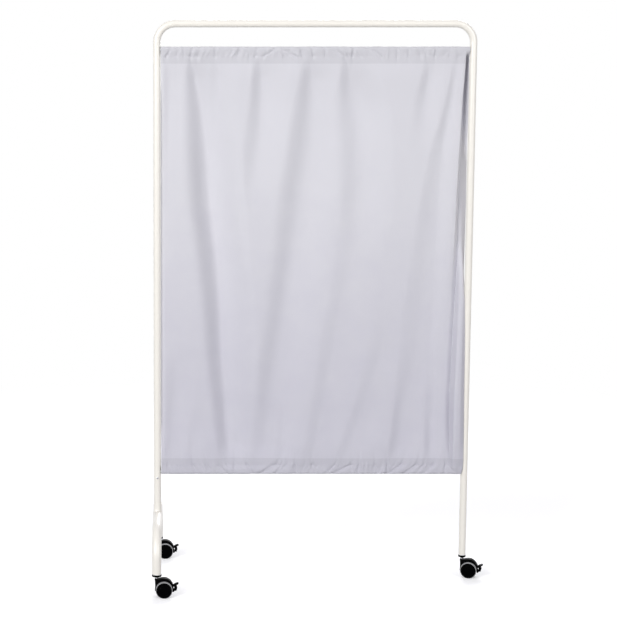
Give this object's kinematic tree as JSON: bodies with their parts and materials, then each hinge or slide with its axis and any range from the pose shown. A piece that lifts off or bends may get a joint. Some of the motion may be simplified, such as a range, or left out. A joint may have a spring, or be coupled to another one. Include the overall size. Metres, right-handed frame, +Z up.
{
  "type": "ward privacy screen",
  "caption": "Free-standing privacy screen: bent tube frame with a gathered cloth between two rods, an arched foot under one leg and braked swivel twin-wheel casters.",
  "frame": {"origin": "on the floor, at the centre of the floor area that the screen covers", "axes": "+X along the cloth from the arched foot to the plain leg, -Y towards the viewer of the picture, +Z up"},
  "size_m": [1.0188, 0.4648, 1.6999],
  "materials": {
    "painted_steel": "glossy powder coat, warm white",
    "zinc_steel": "zinc plated",
    "curtain_cloth": "plain woven cotton, pale lavender grey",
    "black_nylon": "moulded, half gloss",
    "grey_tread": "smooth",
    "pale_plastic": "moulded, satin",
    "chrome_steel": "bright plated"
  },
  "bodies": {
    "frame": {"frame_tube": "painted_steel", "top_rod": "zinc_steel", "bottom_rod": "zinc_steel", "curtain": "curtain_cloth", "foot_arch": "painted_steel", "foot_spigot": "zinc_steel", "foot_collar": "painted_steel", "foot_screw": "zinc_steel", "front_insert": "pale_plastic", "front_flange": "black_nylon", "front_stem": "chrome_steel", "rear_insert": "pale_plastic", "rear_flange": "black_nylon", "rear_stem": "chrome_steel", "right_insert": "pale_plastic", "right_flange": "black_nylon", "right_stem": "chrome_steel"},
    "front_swivel": {"front_hood": "black_nylon", "front_axle": "zinc_steel", "front_pedal_pin": "zinc_steel"},
    "front_near_roller": {"front_near_wheel": "black_nylon", "front_near_tread": "grey_tread"},
    "front_far_roller": {"front_far_wheel": "black_nylon", "front_far_tread": "grey_tread"},
    "front_pedal": {"front_brake_pedal": "black_nylon"},
    "rear_swivel": {"rear_hood": "black_nylon", "rear_axle": "zinc_steel", "rear_pedal_pin": "zinc_steel"},
    "rear_near_roller": {"rear_near_wheel": "black_nylon", "rear_near_tread": "grey_tread"},
    "rear_far_roller": {"rear_far_wheel": "black_nylon", "rear_far_tread": "grey_tread"},
    "rear_pedal": {"rear_brake_pedal": "black_nylon"},
    "right_swivel": {"right_hood": "black_nylon", "right_axle": "zinc_steel", "right_pedal_pin": "zinc_steel"},
    "right_near_roller": {"right_near_wheel": "black_nylon", "right_near_tread": "grey_tread"},
    "right_far_roller": {"right_far_wheel": "black_nylon", "right_far_tread": "grey_tread"},
    "right_pedal": {"right_brake_pedal": "black_nylon"}
  },
  "joints": [
    {"name": "front_swivel_turn", "type": "hinge", "parent": "frame", "child": "front_swivel", "pos_m": [-0.49556, -0.209, 0.06], "axis": [0, 0, 1], "continuous": true},
    {"name": "front_near_roll", "type": "hinge", "parent": "front_swivel", "child": "front_near_roller", "pos_m": [-0.47356, -0.209, 0.02484], "axis": [0, 1, 0], "continuous": true},
    {"name": "front_far_roll", "type": "hinge", "parent": "front_swivel", "child": "front_far_roller", "pos_m": [-0.47356, -0.209, 0.02484], "axis": [0, 1, 0], "continuous": true},
    {"name": "front_pedal_press", "type": "hinge", "parent": "front_swivel", "child": "front_pedal", "pos_m": [-0.45306, -0.209, 0.02984], "axis": [0, 1, 0], "range_deg": [0, 18]},
    {"name": "rear_swivel_turn", "type": "hinge", "parent": "frame", "child": "rear_swivel", "pos_m": [-0.49556, 0.209, 0.06], "axis": [0, 0, 1], "continuous": true},
    {"name": "rear_near_roll", "type": "hinge", "parent": "rear_swivel", "child": "rear_near_roller", "pos_m": [-0.47356, 0.209, 0.02484], "axis": [0, 1, 0], "continuous": true},
    {"name": "rear_far_roll", "type": "hinge", "parent": "rear_swivel", "child": "rear_far_roller", "pos_m": [-0.47356, 0.209, 0.02484], "axis": [0, 1, 0], "continuous": true},
    {"name": "rear_pedal_press", "type": "hinge", "parent": "rear_swivel", "child": "rear_pedal", "pos_m": [-0.45306, 0.209, 0.02984], "axis": [0, 1, 0], "range_deg": [0, 18]},
    {"name": "right_swivel_turn", "type": "hinge", "parent": "frame", "child": "right_swivel", "pos_m": [0.44644, 0, 0.06], "axis": [0, 0, 1], "continuous": true},
    {"name": "right_near_roll", "type": "hinge", "parent": "right_swivel", "child": "right_near_roller", "pos_m": [0.46759, -0.00606, 0.02484], "axis": [0.2756, 0.9613, 0], "continuous": true},
    {"name": "right_far_roll", "type": "hinge", "parent": "right_swivel", "child": "right_far_roller", "pos_m": [0.46759, -0.00606, 0.02484], "axis": [0.2756, 0.9613, 0], "continuous": true},
    {"name": "right_pedal_press", "type": "hinge", "parent": "right_swivel", "child": "right_pedal", "pos_m": [0.48729, -0.01171, 0.02984], "axis": [0.2756, 0.9613, 0], "range_deg": [0, 18]}
  ]
}
